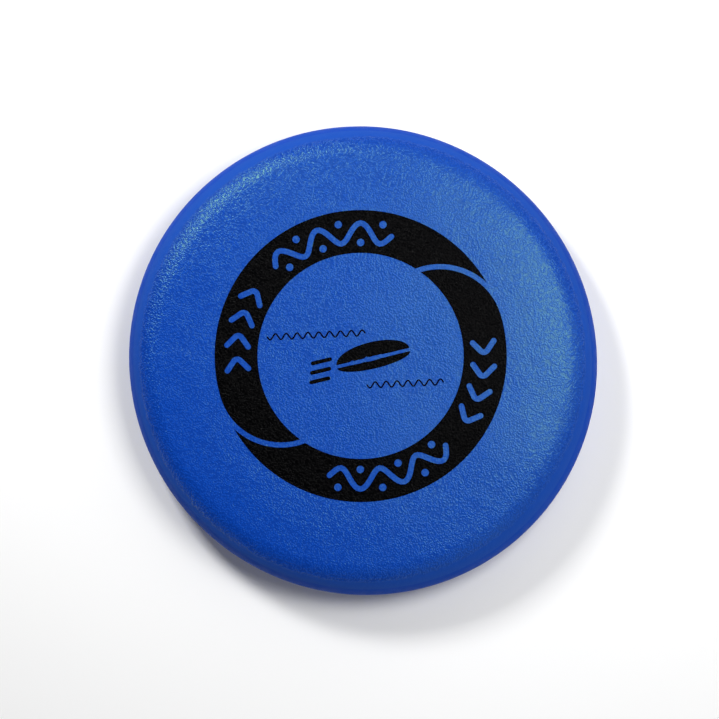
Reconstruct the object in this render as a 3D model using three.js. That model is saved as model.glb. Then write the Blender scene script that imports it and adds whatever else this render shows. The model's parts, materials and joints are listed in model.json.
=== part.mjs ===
// A soft flying disc: a foam core inside a thin pebbled coating, with a black print on its flat top.
// Millimetres, +Z up. The origin is under the middle of the disc, on the surface that it rests on.
import * as THREE from 'three';

// Driving dimensions of the disc.
const DIAMETER = 240;
const HEIGHT = 34; // top of the coating
const WIDEST_HEIGHT = 16; // height of the rim's widest line, where the two halves of the coating meet
const FLAT_RADIUS = 80; // the level middle of the top, which takes the print
const CROWN_DROP = 2.5; // how far the rest of the top has fallen by the rim
const SHOULDER_WIDTH = 16;
const FOOT_OUTER_RADIUS = 107; // the disc rests on a level ring between these two radii
const FOOT_INNER_RADIUS = 98;
const LIP_RADIUS = 7; // rounding of the foot's inner edge
const FILLET_RADIUS = WIDEST_HEIGHT - LIP_RADIUS; // hollow rounding up to the dish's level ceiling
const COAT = 0.6; // thickness of the coating
const BOND = 0.3; // gap between coating and foam, which the adhesive takes up
const INK = 0.2; // thickness of the print

// Driving dimensions of the print. All of its places are measured from its own centre, which sits a little
// off the disc's axis.
const PRINT_CENTRE = { x: -0.6, y: 1.3 };
const RING_OUTER_RADIUS = 74;
const RING_INNER_RADIUS = 52.2;
const BAND_HEAD_RADIUS = 32; // the round end of a band, which touches the ring's outer circle
const BAND_HEAD_ANGLE = 14; // degrees, where it touches
const BAND_GAP = 2.6; // between one band's tail and the next one's head
const MARK_STROKE = 2.8; // width of the lines left open in the bands
const MARK_RADIUS = 62.5; // radius that the open marks are centred on
const CHEVRON = { count: 4, first: 181, last: 148, halfHeight: 5.4, depth: 6.5, corner: 2.2 };
const WAVE = { first: 131, last: 73, halfWaves: 6, swing: 4.9 };
const WAVE_DOT = { radius: 1.9, offset: 5 };
const EMBLEM = { x: 6.5, y: -1.5, halfLength: 19, domeHeight: 7.5, keelDepth: 4.5, slot: 1.6, tilt: 11 };
const DASH = { count: 3, right: -21.5, length: 9, step: 4.6, stagger: 1.5, width: 2 };
const RIPPLE = { width: 0.8, swing: 1.5, period: 5.5 };
const UPPER_RIPPLE = { x: -22, y: 11.5, periods: 9 };
const LOWER_RIPPLE = { x: 22, y: -15, periods: 7 };

// How finely the round shapes are divided.
const LATHE_SEGMENTS = 60;
const SHOULDER_STEPS = 7;
const UNDERCUT_STEPS = 6;
const FILLET_STEPS = 4;
const ARC_STEP = 3; // degrees, on the print's big circles
const FINE_ARC_STEP = 6; // degrees, on a band's head
const CAP_STEPS = 7; // round a stroke's end
const DOT_STEPS = 16;
const HALF_WAVE_STEPS = 8;
const HALF_RIPPLE_STEPS = 5;
const LENS_STEPS = 28; // round half of the middle mark

const RADIUS = DIAMETER / 2;
const SHOULDER_RADIUS = RADIUS - SHOULDER_WIDTH;

const COATING = { color: 0x1f5ab5, roughness: 0.5, metalness: 0 };
const FOAM = { color: 0x9db2c9, roughness: 0.95, metalness: 0 };
const PRINT = { color: 0x0b0b0d, roughness: 0.45, metalness: 0 };

const vec = (x, y) => new THREE.Vector2(x, y);
const radians = THREE.MathUtils.degToRad;
const polar = (radius, degrees) =>
  vec(radius * Math.cos(radians(degrees)), radius * Math.sin(radians(degrees)));

// ---- The disc's section, as (radius, height) ----

// Height of the top at a radius: level in the middle, a slight crown, then a quarter ellipse.
function topHeight(radius) {
  const crown = Math.max(0, radius - FLAT_RADIUS) / (RADIUS - FLAT_RADIUS);
  const round = Math.max(0, radius - SHOULDER_RADIUS) / SHOULDER_WIDTH;
  const rise = HEIGHT - WIDEST_HEIGHT - CROWN_DROP * crown ** 2;
  return WIDEST_HEIGHT + rise * Math.sqrt(Math.max(0, 1 - round ** 2));
}

// The section of the upper side, from the axis out to the widest line.
function topSection() {
  const middle = (FLAT_RADIUS + SHOULDER_RADIUS) / 2;
  const radii = [0, FLAT_RADIUS, middle];
  for (let i = 0; i < SHOULDER_STEPS; i++) {
    radii.push(SHOULDER_RADIUS + SHOULDER_WIDTH * Math.sin((i / SHOULDER_STEPS) * (Math.PI / 2)));
  }
  return [...radii.map((radius) => vec(radius, topHeight(radius))), vec(RADIUS, WIDEST_HEIGHT)];
}

// Points of an ellipse's arc about (x, y), from one angle to another in degrees, with both ends.
function bow(x, y, halfWidth, halfHeight, from, to, steps) {
  const points = [];
  for (let i = 0; i <= steps; i++) {
    const angle = radians(from + ((to - from) * i) / steps);
    points.push(vec(x + halfWidth * Math.cos(angle), y + halfHeight * Math.sin(angle)));
  }
  return points;
}

// The section of the lower side, from the widest line in under the foot and up to the dish's ceiling.
function undersideSection() {
  const undercut = RADIUS - FOOT_OUTER_RADIUS;
  const dishRadius = FOOT_INNER_RADIUS - LIP_RADIUS - FILLET_RADIUS;
  return [
    ...bow(FOOT_OUTER_RADIUS, WIDEST_HEIGHT, undercut, WIDEST_HEIGHT, 0, -90, UNDERCUT_STEPS),
    ...bow(FOOT_INNER_RADIUS, LIP_RADIUS, LIP_RADIUS, LIP_RADIUS, -90, -180, FILLET_STEPS),
    ...bow(dishRadius, LIP_RADIUS, FILLET_RADIUS, FILLET_RADIUS, 0, 90, FILLET_STEPS).slice(1),
    vec(0, WIDEST_HEIGHT),
  ];
}

// The section moved into the material by a distance. The section runs from the top's middle round to
// the underside's middle, so the material is always on its right.
function inset(section, distance) {
  return section.map((point, i) => {
    const ahead = section[Math.min(i + 1, section.length - 1)].clone().sub(point).normalize();
    const behind = point.clone().sub(section[Math.max(i - 1, 0)]).normalize();
    const along = ahead.add(behind).normalize();
    return vec(Math.max(0, point.x + along.y * distance), point.y - along.x * distance);
  });
}

// A solid turned about Z from a section that starts and ends on the axis.
function turned(section) {
  return new THREE.LatheGeometry([...section].reverse(), LATHE_SEGMENTS).rotateX(Math.PI / 2);
}

// ---- Outlines of the print ----

// Points of a circle's arc, from one angle to another in degrees, with both ends.
function arc(centre, radius, from, to, step) {
  const count = Math.max(1, Math.ceil(Math.abs(to - from) / step));
  const points = [];
  for (let i = 0; i <= count; i++) {
    points.push(polar(radius, from + ((to - from) * i) / count).add(centre));
  }
  return points;
}

// A line with a width and two round ends, as a closed outline that runs anticlockwise round it.
function stroke(line, width) {
  const sides = line.map((point, i) => {
    const next = line[Math.min(i + 1, line.length - 1)];
    const last = line[Math.max(i - 1, 0)];
    const along = next.clone().sub(last).normalize().multiplyScalar(width / 2);
    return vec(along.y, -along.x);
  });
  const right = line.map((point, i) => point.clone().add(sides[i]));
  const left = line.map((point, i) => point.clone().sub(sides[i]));
  const cap = (point, side) => {
    const swung = (i) => side.clone().rotateAround(vec(0, 0), (Math.PI * i) / CAP_STEPS);
    return Array.from({ length: CAP_STEPS - 1 }, (_, i) => swung(i + 1).add(point));
  };
  const end = line.length - 1;
  const endCap = cap(line[end], sides[end]);
  const startCap = cap(line[0], sides[0].clone().negate());
  return [...right, ...endCap, ...left.reverse(), ...startCap];
}

// A mark's own (along, out) place, bent round the ring: along runs clockwise from an angle.
const onRing = (degrees, along, out) =>
  polar(MARK_RADIUS + out, degrees - THREE.MathUtils.radToDeg(along / MARK_RADIUS));

// An arrowhead line with a rounded point, which points clockwise round the ring.
function chevron(degrees) {
  const { halfHeight, depth, corner } = CHEVRON;
  const slope = THREE.MathUtils.radToDeg(Math.atan2(depth, halfHeight));
  const centre = vec(depth / 2 - corner / Math.cos(radians(slope)), 0);
  const tip = arc(centre, corner, slope, -slope, FINE_ARC_STEP * 2);
  const line = [vec(-depth / 2, halfHeight), ...tip, vec(-depth / 2, -halfHeight)];
  return stroke(line.map((point) => onRing(degrees, point.x, point.y)), MARK_STROKE);
}

// A wave that runs clockwise round the ring.
function wave() {
  const steps = WAVE.halfWaves * HALF_WAVE_STEPS;
  const line = [];
  for (let i = 0; i <= steps; i++) {
    const out = WAVE.swing * Math.sin((i / HALF_WAVE_STEPS) * Math.PI);
    line.push(onRing(WAVE.first + ((WAVE.last - WAVE.first) * i) / steps, 0, out));
  }
  return stroke(line, MARK_STROKE);
}

// A dot in the hollow side of each half wave.
function waveDots() {
  return Array.from({ length: WAVE.halfWaves }, (_, i) => {
    const degrees = WAVE.first + ((WAVE.last - WAVE.first) * (i + 0.5)) / WAVE.halfWaves;
    const out = i % 2 === 0 ? -WAVE_DOT.offset : WAVE_DOT.offset;
    const step = 360 / DOT_STEPS;
    return arc(onRing(degrees, 0, out), WAVE_DOT.radius, 0, 360 - step, step);
  });
}

// Where a band's head circle, grown by a margin, crosses a circle about the ring's centre, in degrees.
function headCrossing(margin, ringRadius) {
  const reach = RING_OUTER_RADIUS - BAND_HEAD_RADIUS;
  const radius = BAND_HEAD_RADIUS + margin;
  const cosine = (reach ** 2 + ringRadius ** 2 - radius ** 2) / (2 * reach * ringRadius);
  return BAND_HEAD_ANGLE + THREE.MathUtils.radToDeg(Math.acos(cosine));
}

// The part of that head circle between two crossings, as an arc of its own.
function headArc(margin, fromRing, toRing, halfTurn) {
  const centre = polar(RING_OUTER_RADIUS - BAND_HEAD_RADIUS, BAND_HEAD_ANGLE + halfTurn);
  const bearing = (ringRadius, crossing) => {
    const offset = polar(ringRadius, crossing + halfTurn).sub(centre);
    return THREE.MathUtils.radToDeg(Math.atan2(offset.y, offset.x));
  };
  const from = bearing(RING_INNER_RADIUS, fromRing);
  const to = bearing(RING_OUTER_RADIUS, toRing);
  const turn = THREE.MathUtils.euclideanModulo(to - from + 180, 360) - 180;
  return arc(centre, BAND_HEAD_RADIUS + margin, from, from + turn, FINE_ARC_STEP);
}

// One comma-shaped band: it starts at its round head, swells to the ring's width and ends in a point.
function band() {
  const headInner = headCrossing(0, RING_INNER_RADIUS);
  const tailInner = headCrossing(BAND_GAP, RING_INNER_RADIUS);
  const tailOuter = headCrossing(BAND_GAP, RING_OUTER_RADIUS);
  const centre = vec(0, 0);
  const head = headArc(0, headInner, BAND_HEAD_ANGLE, 180);
  const tail = headArc(BAND_GAP, tailInner, tailOuter, 0).reverse();
  const outside = arc(centre, RING_OUTER_RADIUS, BAND_HEAD_ANGLE + 180, tailOuter, ARC_STEP);
  const inside = arc(centre, RING_INNER_RADIUS, tailInner, headInner + 180, ARC_STEP);
  const shape = new THREE.Shape([...head, ...outside.slice(1), ...tail.slice(1), ...inside.slice(1, -1)]);
  const pitch = (CHEVRON.last - CHEVRON.first) / (CHEVRON.count - 1);
  const chevrons = Array.from({ length: CHEVRON.count }, (_, i) => chevron(CHEVRON.first + pitch * i));
  shape.holes = [...chevrons, wave(), ...waveDots()].map((points) => new THREE.Path(points));
  return shape;
}

// The middle mark's own (along, up) place, tilted as a disc in flight.
const onEmblem = (x, y) =>
  vec(x, y).rotateAround(vec(0, 0), radians(EMBLEM.tilt)).add(vec(EMBLEM.x, EMBLEM.y));

// The upper or lower half of a lens, which stands a distance off its middle line.
function halfLens(height, offset) {
  const points = bow(0, offset, EMBLEM.halfLength, height, 0, 180, LENS_STEPS);
  return new THREE.Shape(points.map((point) => onEmblem(point.x, point.y)));
}

// One of the dashes that trail behind the middle mark.
function dash(index) {
  const right = DASH.right - DASH.stagger * index;
  const height = (1 - index) * DASH.step;
  const ends = [onEmblem(right - DASH.length, height), onEmblem(right, height)];
  return new THREE.Shape(stroke(ends, DASH.width));
}

// A fine wavy line.
function ripple(place) {
  const { swing, period, width } = RIPPLE;
  const steps = place.periods * 2 * HALF_RIPPLE_STEPS;
  const line = [];
  for (let i = 0; i <= steps; i++) {
    const along = (i / steps - 0.5) * place.periods;
    line.push(vec(place.x + along * period, place.y + swing * Math.sin(along * 2 * Math.PI)));
  }
  return new THREE.Shape(stroke(line, width));
}

// ---- The assembly ----

const disc = new THREE.Group();

function addPiece(name, geometry, finish) {
  const mesh = new THREE.Mesh(geometry, new THREE.MeshStandardMaterial(finish));
  mesh.name = name;
  disc.add(mesh);
  return mesh;
}

// A flat film of ink on the level part of the top.
function addPrint(name, shape) {
  const film = addPiece(name, new THREE.ExtrudeGeometry(shape, { depth: INK, bevelEnabled: false }), PRINT);
  film.position.set(PRINT_CENTRE.x, PRINT_CENTRE.y, HEIGHT);
  return film;
}

const top = topSection();
const outside = [...top, ...undersideSection().slice(1)];
const coatInside = inset(outside, COAT);
const rim = top.length - 1; // the point that both halves of the coating share
const topSkin = [...outside.slice(0, rim + 1), ...coatInside.slice(0, rim + 1).reverse()];
const undersideSkin = [...coatInside.slice(rim).reverse(), ...outside.slice(rim)];

addPiece('foam_core', turned(inset(outside, COAT + BOND)), FOAM);
addPiece('top_skin', turned(topSkin), COATING);
addPiece('underside_skin', turned(undersideSkin), COATING);

addPrint('ring_print_a', band());
addPrint('ring_print_b', band()).rotation.z = Math.PI;
addPrint('emblem_dome', halfLens(EMBLEM.domeHeight, EMBLEM.slot / 2));
addPrint('emblem_keel', halfLens(-EMBLEM.keelDepth, -EMBLEM.slot / 2));
for (let i = 0; i < DASH.count; i++) {
  addPrint(`emblem_dash_${i + 1}`, dash(i));
}
addPrint('upper_ripple_line', ripple(UPPER_RIPPLE));
addPrint('lower_ripple_line', ripple(LOWER_RIPPLE));

export default disc;
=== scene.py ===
"""A soft coated-foam flying disc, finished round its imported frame. Metres, +Z up, as in the frame."""
import json
import math

import bmesh
import bpy
import numpy as np
from mathutils import Matrix, Vector
from mathutils.geometry import delaunay_2d_cdt


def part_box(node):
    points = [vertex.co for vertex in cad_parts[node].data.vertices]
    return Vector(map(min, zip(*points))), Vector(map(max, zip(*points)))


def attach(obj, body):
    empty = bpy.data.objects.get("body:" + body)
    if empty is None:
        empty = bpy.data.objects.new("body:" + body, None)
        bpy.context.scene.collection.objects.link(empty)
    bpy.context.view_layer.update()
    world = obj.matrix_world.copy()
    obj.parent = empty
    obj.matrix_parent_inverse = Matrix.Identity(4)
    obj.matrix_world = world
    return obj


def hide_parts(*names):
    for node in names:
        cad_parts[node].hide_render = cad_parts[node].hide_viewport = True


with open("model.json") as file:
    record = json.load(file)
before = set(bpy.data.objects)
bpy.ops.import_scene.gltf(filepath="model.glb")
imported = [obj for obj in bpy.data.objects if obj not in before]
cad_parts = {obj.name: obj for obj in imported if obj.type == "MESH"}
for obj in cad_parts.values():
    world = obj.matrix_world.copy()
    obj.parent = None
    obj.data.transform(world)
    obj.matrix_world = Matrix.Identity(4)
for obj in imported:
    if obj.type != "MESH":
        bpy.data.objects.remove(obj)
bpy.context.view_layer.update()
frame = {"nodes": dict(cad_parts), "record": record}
MM = 0.001

# ---- The disc's section: its size from the frame's boxes, the rest as in the CAD part ----
TOP_LOW, TOP_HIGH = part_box("top_skin")
RADIUS = TOP_HIGH.x
HEIGHT = TOP_HIGH.z
WIDEST = TOP_LOW.z  # height of the rim's widest line, where the two halves of the coating meet
FLAT_RADIUS = RADIUS * 2 / 3  # the level middle of the top
SHOULDER = 16 * MM  # width of the rounded shoulder
CROWN = 2.5 * MM  # how far the rest of the top has fallen by the rim
FOOT_OUTER = RADIUS - 13 * MM  # the disc rests on a level ring between these two radii
FOOT_INNER = RADIUS - 22 * MM
LIP = 7 * MM  # rounding of the foot's inner edge
FILLET = WIDEST - LIP  # hollow rounding up to the dish's level ceiling
COAT = 0.6 * MM  # thickness of the coating
BOND = 0.3 * MM  # gap between coating and foam

# ---- What only the looks have ----
PEBBLED_RADIUS = RADIUS - 6 * MM  # the pebbled grain fades about here
SMOOTH_RADIUS = RADIUS - 3.5 * MM  # outside this, the rim is nearly smooth and has a duller material
RIM_CALM = 0.85  # share of the coating's unevenness that is lost by the rim
OUT_OF_ROUND = 0.008  # share of the radius by which the rim is farther out one way and farther in across it
OUT_OF_ROUND_POWER = 4  # the share grows from the axis to the rim with this power of the distance
LONG_BEARING = math.radians(-52)
INK_PROUD = 0.05 * MM  # the ink's surface stands this far off the coating
INK_DEPTH = 0.12 * MM  # the ink's thickness, more than half of it sunk into the coating

# ---- How fine the meshes are ----
TOP_STEPS = 160  # points in each of the two stretches of the top's section
BOW_STEPS = 80  # points in an arc of the underside's section
SKIN_GRID = 280  # squares across the coating's outside
CORE_GRID = 90  # squares across the foam
INSIDE_RINGS = 18  # rings of points on the inside of each half of the coating
FILM_PITCH = 1.0 * MM  # spacing of the points within the ink's outline
EDGE_CLEARANCE = FILM_PITCH * 0.45  # those points stay this far from the outline
SHARP_ANGLE = math.radians(50)  # edges that turn more than this look sharp
SAME_POINT = 1e-9  # points of a section that are no farther apart than this are one point
OUTLINE_DIGITS = 7  # decimals of a metre to which points of an outline are told apart
SAME_PLACE = 1e-7  # the same in metres, for filling an outline with triangles


# ---- Sections: rows of (radius, height), from the axis out to the rim's widest line ----
def top_section():
    """The upper side: level, then slightly crowned, then a quarter ellipse."""
    turn = np.linspace(0, math.pi / 2, TOP_STEPS)
    start = RADIUS - SHOULDER
    radius = np.concatenate([np.linspace(0, start, TOP_STEPS)[:-1], start + SHOULDER * np.sin(turn)])
    crown = np.maximum(0, radius - FLAT_RADIUS) / (RADIUS - FLAT_RADIUS)
    rounding = np.maximum(0, radius - start) / SHOULDER
    rise = HEIGHT - WIDEST - CROWN * crown**2
    return np.stack([radius, WIDEST + rise * np.sqrt(np.maximum(0, 1 - rounding**2))], axis=1)


def bow(centre, half_width, half_height, start, end):
    """An ellipse's arc, between two angles in degrees."""
    turn = np.radians(np.linspace(start, end, BOW_STEPS))
    return np.stack([centre[0] + half_width * np.cos(turn), centre[1] + half_height * np.sin(turn)], axis=1)


def underside_section():
    """The lower side: the dish's ceiling, its fillet, the foot's lip, the foot and the undercut."""
    dish = FOOT_INNER - LIP - FILLET
    return np.concatenate([
        [[0, WIDEST]],
        bow((dish, LIP), FILLET, FILLET, 90, 0),
        bow((FOOT_INNER, LIP), LIP, LIP, 180, 270),
        bow((FOOT_OUTER, WIDEST), RADIUS - FOOT_OUTER, WIDEST, -90, 0),
    ])


def spaced(section, shares):
    """Points and unit tangents at shares of a section's length."""
    step = np.linalg.norm(np.diff(section, axis=0), axis=1)
    keep = np.concatenate([[True], step > SAME_POINT])
    section, along = section[keep], np.concatenate([[0], np.cumsum(step[step > SAME_POINT])])
    at = np.asarray(shares) * along[-1]
    point = np.stack([np.interp(at, along, section[:, k]) for k in range(2)], axis=-1)
    slope = np.gradient(section, along, axis=0)
    slope[0], slope[-1] = (1, 0), (0, math.copysign(1, slope[-1][1]))
    tangent = np.stack([np.interp(at, along, slope[:, k]) for k in range(2)], axis=-1)
    return point, tangent / np.linalg.norm(tangent, axis=-1, keepdims=True)


def on_section(section, shares, across, inset=0.0):
    """Points and outward normals round the disc: shares of the section's length, across the unit (x, y)."""
    point, tangent = spaced(section, shares)
    side = 1 if section[len(section) // 2][1] > WIDEST else -1
    normal = np.stack([-tangent[..., 1] * side, tangent[..., 0] * side], axis=-1)
    point = point - normal * inset

    def spun(flat):
        return np.concatenate([flat[..., :1] * across, flat[..., 1:]], axis=-1)

    return spun(point), spun(normal)


def turning_shares(section, count):
    """Shares of a section's length, from the rim in, that stand closer together where the section turns."""
    step = np.diff(section, axis=0)
    step = step[np.linalg.norm(step, axis=1) > SAME_POINT]
    length = np.linalg.norm(step, axis=1)
    heading = np.unwrap(np.arctan2(step[:, 1], step[:, 0]))
    along = np.concatenate([[0], np.cumsum(length)]) / length.sum()
    turned = np.concatenate([[0, 0], np.cumsum(np.abs(np.diff(heading)))])
    return np.interp(np.linspace(1, 0, count + 1), (turned + along) / (turned[-1] + 1), along)[:-1]


# ---- The coating's unevenness ----
WAVE_COUNT = 48


def waves(points, shortest, longest, height, seed):
    """A smooth random unevenness with an RMS height, made of plane waves of lengths between two limits."""
    draw = np.random.default_rng(seed)
    direction = draw.normal(size=(WAVE_COUNT, 3))
    direction /= np.linalg.norm(direction, axis=1, keepdims=True)
    number = 2 * math.pi / draw.uniform(shortest, longest, WAVE_COUNT)
    phase = draw.uniform(0, 2 * math.pi, WAVE_COUNT)
    total = np.zeros(len(points))
    for way, k, start in zip(direction, number, phase):
        total += np.sin(points @ way * k + start)
    return total * height * math.sqrt(2 / WAVE_COUNT)


def relief(points):
    """How far the coating stands off its nominal surface: more on the flats than on the taut rim."""
    slow = waves(points, shortest=40 * MM, longest=90 * MM, height=0.10 * MM, seed=1)
    lumps = waves(points, shortest=8 * MM, longest=18 * MM, height=0.025 * MM, seed=2)
    pebbles = waves(points, shortest=2.6 * MM, longest=4.5 * MM, height=0.016 * MM, seed=3)
    beyond = np.linalg.norm(points[:, :2], axis=1) - PEBBLED_RADIUS
    taut = np.clip(beyond / (RADIUS - PEBBLED_RADIUS), 0, 1)
    return (slow + lumps + pebbles) * (1 - RIM_CALM * taut)


def out_of_round(points):
    """Points of the round disc moved as the soft disc lies: a hair longer one way and shorter the other."""
    radius = np.linalg.norm(points[:, :2], axis=1)
    bearing = np.arctan2(points[:, 1], points[:, 0])
    edgeward = (radius / RADIUS) ** OUT_OF_ROUND_POWER
    growth = OUT_OF_ROUND * np.cos(2 * (bearing - LONG_BEARING)) * edgeward
    return points * np.stack([1 + growth, 1 + growth, np.ones(len(points))], axis=1)


# ---- Meshes ----
def disc_grid(count):
    """A square grid drawn onto a unit disc.

    It gives each point's share of the radius and unit (x, y), the quads, and the rim's indices in order.
    """
    side = np.linspace(-1, 1, count + 1)
    a, b = [v.ravel() for v in np.meshgrid(side, side)]
    wide = np.abs(a) > np.abs(b)
    reach = np.where(wide, a, b)
    safe = np.where(reach == 0, 1, reach)
    angle = np.where(wide, math.pi / 4 * b / safe, math.pi / 2 - math.pi / 4 * a / safe)
    across = np.stack([np.cos(angle), np.sin(angle)], axis=1) * np.where(reach < 0, -1, 1)[:, None]
    index = np.arange((count + 1) ** 2).reshape(count + 1, count + 1)
    corners = [index[:-1, :-1], index[:-1, 1:], index[1:, 1:], index[1:, :-1]]
    quads = np.stack(corners, axis=-1).reshape(-1, 4)
    rim = np.concatenate([index[0, :-1], index[:-1, -1], index[-1, :0:-1], index[:0:-1, 0]])
    return np.abs(reach), across, quads, rim


def mesh_object(name, points, faces):
    """A mesh in the scene, with consistent normals and its gentle edges smooth."""
    mesh = bpy.data.meshes.new(name)
    mesh.from_pydata([tuple(p) for p in points.tolist()], [], faces)
    work = bmesh.new()
    work.from_mesh(mesh)
    bmesh.ops.recalc_face_normals(work, faces=work.faces)
    work.to_mesh(mesh)
    work.free()
    mesh.shade_smooth()
    mesh.set_sharp_from_angle(angle=SHARP_ANGLE)
    made = bpy.data.objects.new(name, mesh)
    bpy.context.scene.collection.objects.link(made)
    return made


def surface(section, count, inset=0.0, uneven=True):
    """One side of the disc as a fine grid, with its rim's indices in order."""
    share, across, quads, rim = disc_grid(count)
    points, normals = on_section(section, share, across, inset)
    if uneven:
        points = points + normals * relief(points)[:, None]
    points[:, 2] = np.maximum(points[:, 2], inset)  # unevenness doesn't press the foot into the floor
    return out_of_round(points), quads.tolist(), rim


def smooth_faces(section):
    """The faces of a coating's outside that lie wholly beyond SMOOTH_RADIUS."""
    share, across, quads, _ = disc_grid(SKIN_GRID)
    points, _ = on_section(section, share, across)
    reach = np.linalg.norm(points[:, :2], axis=1)
    return np.flatnonzero(reach[quads].min(axis=1) > SMOOTH_RADIUS).tolist()


def skin(name, section):
    """Half of the coating, a closed shell: a fine outside, and a plain inside that meets it at the rim."""
    points, faces, rim = surface(section, SKIN_GRID)
    _, across, _, _ = disc_grid(SKIN_GRID)
    rings = [rim]
    sheets = [points]
    used = len(points)
    for share in turning_shares(section, INSIDE_RINGS):
        ring, _ = on_section(section, np.full(len(rim), share), across[rim], COAT)
        sheets.append(out_of_round(ring))
        rings.append(np.arange(used, used + len(rim)))
        used += len(rim)
    middle, _ = on_section(section, np.zeros(1), across[:1], COAT)
    sheets.append(middle)
    for outer, inner in zip(rings, rings[1:]):
        faces += np.stack([outer, np.roll(outer, -1), np.roll(inner, -1), inner], axis=1).tolist()
    last = rings[-1]
    faces += np.stack([last, np.roll(last, -1), np.full(len(last), used)], axis=1).tolist()
    made = mesh_object(name, np.concatenate(sheets), faces)
    for face in smooth_faces(section):
        made.data.polygons[face].material_index = 1  # the second material, the smooth rim's
    return made


def core(name):
    """The foam, a plain closed solid inside both halves of the coating."""
    top, faces, rim = surface(top_section(), CORE_GRID, COAT + BOND, uneven=False)
    low, low_faces, _ = surface(underside_section(), CORE_GRID, COAT + BOND, uneven=False)
    first = len(top)
    index = np.arange(first, first + len(low))
    index[rim] = rim
    faces += index[np.array(low_faces)].tolist()
    points = np.concatenate([top, low])
    return mesh_object(name, points, faces)


# ---- The print ----
LEVEL_SLACK = 0.01 * MM  # a film's top faces are level to within this


def outline(node):
    """The outline of a CAD print film, as (x, y) points and the edges between them."""
    mesh = frame["nodes"][node].data
    level = max(v.co.z for v in mesh.vertices)
    numbers, used = {}, {}
    for face in mesh.polygons:
        corners = [mesh.vertices[i].co for i in face.vertices]
        if min(c.z for c in corners) < level - LEVEL_SLACK:
            continue
        places = [(round(c.x, OUTLINE_DIGITS), round(c.y, OUTLINE_DIGITS)) for c in corners]
        ring = [numbers.setdefault(place, len(numbers)) for place in places]
        for a, b in zip(ring, ring[1:] + ring[:1]):
            if a != b:
                used[frozenset((a, b))] = used.get(frozenset((a, b)), 0) + 1
    return np.array(list(numbers)), [tuple(e) for e, times in used.items() if times == 1]


def within(points, edges):
    """Which points lie inside an outline: those with an odd number of its edges to their right."""
    crossings = np.zeros(len(points), int)
    for (ax, ay), (bx, by) in edges:
        spans = (points[:, 1] < ay) != (points[:, 1] < by)
        if ay != by:
            crossings += spans & (points[:, 0] < ax + (points[:, 1] - ay) * (bx - ax) / (by - ay))
    return crossings % 2 == 1


def inner_points(rim, ends):
    """Points of a square grid over an outline's box, apart from those too close to its edges."""
    grid = [
        np.arange(low - FILM_PITCH, high + FILM_PITCH, FILM_PITCH)
        for low, high in zip(rim.min(0), rim.max(0))
    ]
    points = np.stack(np.meshgrid(*grid), axis=-1).reshape(-1, 2)
    clear = np.full(len(points), True)
    for a, b in ends:
        length_squared = max((b - a) @ (b - a), 1e-12)  # a floor for edges of almost no length
        along = np.clip((points - a) @ (b - a) / length_squared, 0, 1)
        clear &= np.linalg.norm(points - a - along[:, None] * (b - a), axis=1) > EDGE_CLEARANCE
    return points[clear]


def plan(node):
    """A CAD print film seen from above: its (x, y) points and the triangles that fill its outline."""
    rim, edges = outline(node)
    ends = rim[np.array(edges)]
    flat = [Vector(p) for p in np.concatenate([rim, inner_points(rim, ends)]).tolist()]
    places, _, triangles, _, _, _ = delaunay_2d_cdt(flat, edges, [], 0, SAME_PLACE)
    places, triangles = np.array(places), np.array(triangles)
    triangles = triangles[within(places[triangles].mean(axis=1), ends)].tolist()
    kept = sorted({i for t in triangles for i in t})
    number = {old: new for new, old in enumerate(kept)}
    return places[kept], [[number[i] for i in t] for t in triangles]


def film(node):
    """A CAD print film made again as ink on the uneven coating, a little proud of it and sunk into it."""
    points, upper = plan(node)
    count = len(points)
    base = np.column_stack([points, np.full(count, HEIGHT)])
    base[:, 2] += relief(base)
    base = out_of_round(base)
    both = np.concatenate([base + [0, 0, INK_PROUD], base + [0, 0, INK_PROUD - INK_DEPTH]])
    lower = [[i + count for i in reversed(t)] for t in upper]
    sides = dict.fromkeys((a, b) for t in upper for a, b in zip(t, t[1:] + t[:1]))
    walls = [[b, a, a + count, b + count] for a, b in sides if (b, a) not in sides]
    return mesh_object(node + "_film", both, upper + lower + walls)


# ---- How a material is put together ----
class Finish:
    """A node material under construction."""

    def __init__(self, name):
        self.material = bpy.data.materials.new(name)
        self.material.use_nodes = True
        self.tree = self.material.node_tree
        self.shader = self.tree.nodes["Principled BSDF"]

    def node(self, kind, settings=(), **inputs):
        made = self.tree.nodes.new("ShaderNode" + kind)
        for key, value in dict(settings).items():
            setattr(made, key, value)
        for key, value in inputs.items():
            self.set(made.inputs[key.replace("_", " ")], value)
        return made

    def set(self, socket, value):
        if isinstance(value, bpy.types.NodeSocket):
            self.tree.links.new(value, socket)
        else:
            socket.default_value = value

    def math(self, operation, a, b):
        made = self.node("Math", {"operation": operation})
        self.set(made.inputs[0], a)
        self.set(made.inputs[1], b)
        return made.outputs[0]

    def span(self, value, low, high, new_low, new_high):
        """A value carried smoothly from one range over to another."""
        made = self.node("MapRange", {"interpolation_type": "SMOOTHSTEP"}, Value=value)
        limits = {"From Min": low, "From Max": high, "To Min": new_low, "To Max": new_high}
        for key, limit in limits.items():
            self.set(made.inputs[key], limit)
        return made.outputs[0]

    def step(self, value, low, high):
        """0 where a value is low or less, 1 where it is high or more, and smooth between."""
        return self.span(value, low, high, 0.0, 1.0)

    def mix(self, factor, a, b):
        """Two colours mixed. The node's colour sockets are its inputs 6 and 7 and its output 2."""
        made = self.node("Mix", {"data_type": "RGBA"})
        self.set(made.inputs[0], factor)
        self.set(made.inputs[6], a)
        self.set(made.inputs[7], b)
        return made.outputs[2]

    def place(self):
        return self.node("TexCoord").outputs["Object"]

    def noise(self, place, size, detail=2.0):
        made = self.node("TexNoise", Vector=place, Scale=1 / size, Detail=detail)
        return made.outputs[0]

    def socket(self, name):
        return self.shader.inputs[name]


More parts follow.
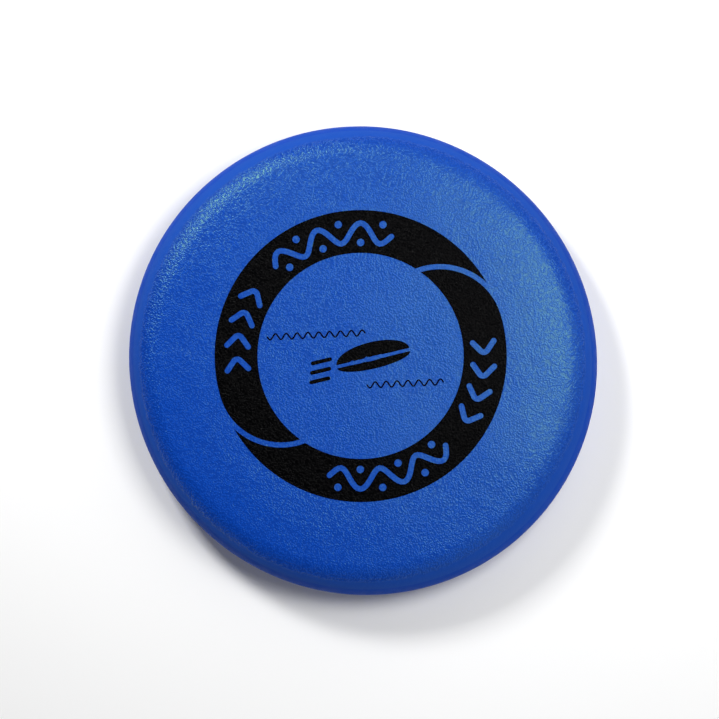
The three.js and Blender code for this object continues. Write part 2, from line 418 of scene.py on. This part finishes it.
# ---- The grain, which coating, rim and print share, and where the coating's grain changes ----
PEBBLE = 0.95 * MM  # size of a pebble
PEBBLE_TOP = 0.15  # a pebble is at its full height within this share of that size from its middle
PEBBLE_FOOT = 0.75  # and at its lowest beyond this share
WANDER = 0.8 * MM  # how far the pebbles are pushed about, so that they are irregular
WANDER_SIZE = 1.6 * MM
FINE_GRAIN = 0.75 * MM
PEBBLE_SHARE = 0.6  # the fine grain makes up the rest of the height
RAGGED_SIZE = 4 * MM  # the border of the pebbled part wavers at this size
RAGGED_REACH = 2.5 * MM  # and by up to this much
FADE_START = PEBBLED_RADIUS - 0.5 * MM
FADE_END = PEBBLED_RADIUS + 1.5 * MM
RIM_GRAIN = 0.12  # what is left of the grain beyond the border
SWELL_START = RADIUS - 18 * MM
SWELL_END = RADIUS - 11 * MM
SWELL = 1.7  # the grain is this many times as high on the shoulder as on the flat


def grain(finish):
    """The grain's height, from about 0 in the creases to about 1 on the pebbles."""
    place = finish.place()
    wander = finish.node("TexNoise", Vector=place, Scale=1 / WANDER_SIZE, Detail=1.0).outputs["Color"]
    shifted = finish.node("VectorMath", {"operation": "MULTIPLY_ADD"})
    finish.set(shifted.inputs[0], wander)
    finish.set(shifted.inputs[1], (WANDER,) * 3)
    finish.set(shifted.inputs[2], place)
    cells = finish.node(
        "TexVoronoi", {"feature": "SMOOTH_F1"}, Vector=shifted.outputs[0], Scale=1 / PEBBLE, Smoothness=0.25
    )
    pebbles = finish.span(cells.outputs["Distance"], PEBBLE_TOP, PEBBLE_FOOT, 1.0, 0.0)
    fine = finish.noise(place, FINE_GRAIN, detail=1.0)
    return finish.math(
        "ADD",
        finish.math("MULTIPLY", pebbles, PEBBLE_SHARE),
        finish.math("MULTIPLY", fine, 1 - PEBBLE_SHARE),
    )


def distance_from_axis(finish):
    flat = finish.node("VectorMath", {"operation": "MULTIPLY"})
    finish.set(flat.inputs[0], finish.place())
    finish.set(flat.inputs[1], (1, 1, 0))
    length = finish.node("VectorMath", {"operation": "LENGTH"})
    finish.set(length.inputs[0], flat.outputs[0])
    return length.outputs["Value"]


def pebbled(finish):
    """1 where the coating is pebbled and RIM_GRAIN beyond, with a ragged border between."""
    ragged = finish.math("MULTIPLY", finish.noise(finish.place(), RAGGED_SIZE), RAGGED_REACH)
    reach = finish.math("ADD", distance_from_axis(finish), ragged)
    return finish.span(reach, FADE_START, FADE_END, 1.0, RIM_GRAIN)


def shoulder_swell(finish):
    """1 on the flat top and SWELL from the shoulder outward, where the grain stands out more."""
    return finish.span(distance_from_axis(finish), SWELL_START, SWELL_END, 1.0, SWELL)


# ---- The materials ----
SHEEN = (0.45, 1.0, 0.25, 1)  # tint of the blue coating's highlights
DEEP_BLUE = (0.001, 0.048, 0.40, 1)
LIGHT_BLUE = (0.001, 0.053, 0.42, 1)
# painted shade: the coating's creases between the pebbles are coloured darker, as if shaded
SHADED_CREASE_BLUE = (0.0005, 0.036, 0.32, 1)
# painted shade: the print is a darker black in the creases than on the pebbles, as if shaded
SHADED_CREASE_BLACK = (0.0003, 0.0003, 0.0005, 1)
PEBBLE_BLACK = (0.0008, 0.0008, 0.0010, 1)
DEEP_FOAM = (0.16, 0.25, 0.36, 1)
LIGHT_FOAM = (0.36, 0.47, 0.60, 1)
DEEP_FLOOR = (0.93, 0.93, 0.93, 1)
LIGHT_FLOOR = (0.95, 0.95, 0.95, 1)
BLUE_PATCH = 60 * MM  # the blue drifts over about this distance
FLOOR_PATCH = 0.4  # and the floor's grey over this one
FOAM_CELL = 0.9 * MM
NOISE_LOW = 0.3  # noise lies mostly between these two
NOISE_HIGH = 0.7


def bump(finish, height, depth):
    made = finish.node("Bump", Height=height, Distance=depth, Strength=1.0)
    finish.set(finish.socket("Normal"), made.outputs["Normal"])


def highlights(finish, level):
    finish.set(finish.socket("Specular Tint"), SHEEN)
    finish.set(finish.socket("Specular IOR Level"), level)


def drifting_roughness(finish, size, detail, low, high):
    """A roughness that drifts between two values in patches of about one size."""
    drift = finish.noise(finish.place(), size, detail)
    finish.set(finish.socket("Roughness"), finish.span(drift, NOISE_LOW, NOISE_HIGH, low, high))


def drifting_blue(finish):
    drift = finish.noise(finish.place(), BLUE_PATCH, detail=3.0)
    return finish.mix(drift, DEEP_BLUE, LIGHT_BLUE)


def coating_material():
    finish = Finish("blue_pebbled_coating")
    height = grain(finish)
    zone = pebbled(finish)
    blue = drifting_blue(finish)
    # painted shade: a darker blue in the grain's creases, fading where the grain fades towards the rim
    shaded_crease = finish.mix(zone, blue, SHADED_CREASE_BLUE)
    finish.set(finish.socket("Base Color"), finish.mix(finish.step(height, 0.2, 0.7), shaded_crease, blue))
    finish.set(finish.socket("Roughness"), finish.span(zone, RIM_GRAIN, 1.0, 0.80, 0.30))
    highlights(finish, level=0.5)
    swollen = finish.math("MULTIPLY", zone, shoulder_swell(finish))
    bump(finish, finish.math("MULTIPLY", height, swollen), depth=0.14 * MM)
    return finish.material


def rim_material():
    finish = Finish("blue_smooth_rim")
    finish.set(finish.socket("Base Color"), drifting_blue(finish))
    drifting_roughness(finish, 6 * MM, detail=2.0, low=0.60, high=0.70)
    highlights(finish, level=0.12)
    bump(finish, grain(finish), depth=0.02 * MM)
    return finish.material


def print_material():
    finish = Finish("black_print")
    height = grain(finish)
    # painted shade: the ink is darker in the grain's creases
    shaded_black = finish.mix(finish.step(height, 0.15, 0.6), SHADED_CREASE_BLACK, PEBBLE_BLACK)
    finish.set(finish.socket("Base Color"), shaded_black)
    drifting_roughness(finish, 5 * MM, detail=3.0, low=0.24, high=0.30)
    finish.set(finish.socket("Specular IOR Level"), 0.03)
    bump(finish, height, depth=0.25 * MM)
    return finish.material


def foam_material():
    finish = Finish("soft_foam")
    cells = finish.node("TexVoronoi", Vector=finish.place(), Scale=1 / FOAM_CELL).outputs["Distance"]
    finish.set(finish.socket("Base Color"), finish.mix(finish.step(cells, 0.0, 0.6), DEEP_FOAM, LIGHT_FOAM))
    finish.set(finish.socket("Roughness"), 0.95)
    bump(finish, cells, depth=0.3 * MM)
    return finish.material


def floor_material():
    finish = Finish("pale_floor")
    tone = finish.noise(finish.place(), FLOOR_PATCH)
    finish.set(finish.socket("Base Color"), finish.mix(tone, DEEP_FLOOR, LIGHT_FLOOR))
    finish.set(finish.socket("Roughness"), 0.9)
    finish.set(finish.socket("Specular IOR Level"), 0.1)
    return finish.material


# ---- The object ----
def add(piece, materials, slot, *nodes):
    """Gives a piece its materials, lets it ride the root and hides the CAD nodes it stands for. Its slot is
    not used.
    """
    for material in materials:
        piece.data.materials.append(material)
    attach(piece, "root")
    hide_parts(*nodes)
    return piece


coating = (coating_material(), rim_material())
add(skin("top_coating", top_section()), coating, "coating", "top_skin")
add(skin("underside_coating", underside_section()), coating, "coating", "underside_skin")
foam = add(core("foam_body"), [foam_material()], "foam", "foam_core")
ink = print_material()
slots = {part["node"]: part["material_slot"] for part in frame["record"]["subparts"]}
for node in sorted(name for name, slot in slots.items() if slot == "print"):
    add(film(node), [ink], "print", node)


# ---- Floor, light and camera ----
FLOOR_HALF = 4.0
FILL_BEARINGS = range(-60, 61, 60)
CAMERA_LEAN = math.radians(3)  # the camera stands this far off straight above
CAMERA_BEARING = math.radians(-63.7)  # and towards this bearing
CAMERA_ROLL = math.radians(-2.5)
CAMERA_DISTANCE = 1.5
CAMERA_LENS = 146.6
AIM_LEFT = 1.6  # millimetres from the disc's axis to the camera's aim, as seen in the picture
AIM_UP = 0.2


def add_floor():
    signs = [(-1, -1, 0), (1, -1, 0), (1, 1, 0), (-1, 1, 0)]
    floor = mesh_object("floor", np.array(signs) * FLOOR_HALF, [[0, 1, 2, 3]])
    floor.data.materials.append(floor_material())


def add_light(name, bearing, elevation, distance, size, power):
    """A square soft box that faces the disc. Its bearing is in degrees anticlockwise from +X."""
    a, e = math.radians(bearing), math.radians(elevation)
    way = Vector((math.cos(a) * math.cos(e), math.sin(a) * math.cos(e), math.sin(e)))
    lamp = bpy.data.lights.new(name, "AREA")
    lamp.size = size
    lamp.energy = power
    made = bpy.data.objects.new(name, lamp)
    made.location = Vector((0, 0, HEIGHT)) + way * distance
    made.rotation_euler = way.to_track_quat("Z", "Y").to_euler()
    bpy.context.scene.collection.objects.link(made)


def add_sky(strength, backdrop):
    """An even white sky, which the camera sees paler than it lights, so that the background is pale."""
    world = bpy.data.worlds.new("studio")
    world.use_nodes = True
    tree = world.node_tree
    seen = tree.nodes.new("ShaderNodeLightPath")
    level = tree.nodes.new("ShaderNodeMapRange")
    level.inputs["To Min"].default_value = strength
    level.inputs["To Max"].default_value = backdrop
    tree.links.new(seen.outputs["Is Camera Ray"], level.inputs["Value"])
    background = tree.nodes["Background"]
    background.inputs["Color"].default_value = (1, 1, 1, 1)
    tree.links.new(level.outputs["Result"], background.inputs["Strength"])
    bpy.context.scene.world = world


def add_camera():
    """A camera almost straight above the disc, at the photograph's viewing angle."""
    sideways = math.sin(CAMERA_LEAN)
    back = Vector((
        sideways * math.cos(CAMERA_BEARING),
        sideways * math.sin(CAMERA_BEARING),
        math.cos(CAMERA_LEAN),
    ))
    level = Vector((math.cos(CAMERA_ROLL), math.sin(CAMERA_ROLL), 0))
    right = (level - level.dot(back) * back).normalized()
    up = back.cross(right)
    aim = Vector((0, 0, WIDEST)) - right * AIM_LEFT * MM + up * AIM_UP * MM
    camera = bpy.data.objects.new("camera", bpy.data.cameras.new("camera"))
    camera.data.lens = CAMERA_LENS
    turn = Matrix((right, up, back)).transposed().to_4x4()
    camera.matrix_world = Matrix.Translation(aim + back * CAMERA_DISTANCE) @ turn
    bpy.context.scene.collection.objects.link(camera)
    bpy.context.scene.camera = camera


add_floor()
add_sky(strength=0.08, backdrop=0.85)
add_light("key", bearing=20, elevation=65, distance=0.7, size=0.3, power=3)
add_light("rim", bearing=125, elevation=42, distance=0.9, size=0.2, power=6)
for number, bearing in enumerate(FILL_BEARINGS, 1):
    add_light(f"fill_{number}", bearing, elevation=35, distance=1.4, size=0.8, power=2.2)
add_camera()
bpy.context.scene.view_settings.view_transform = "Standard"
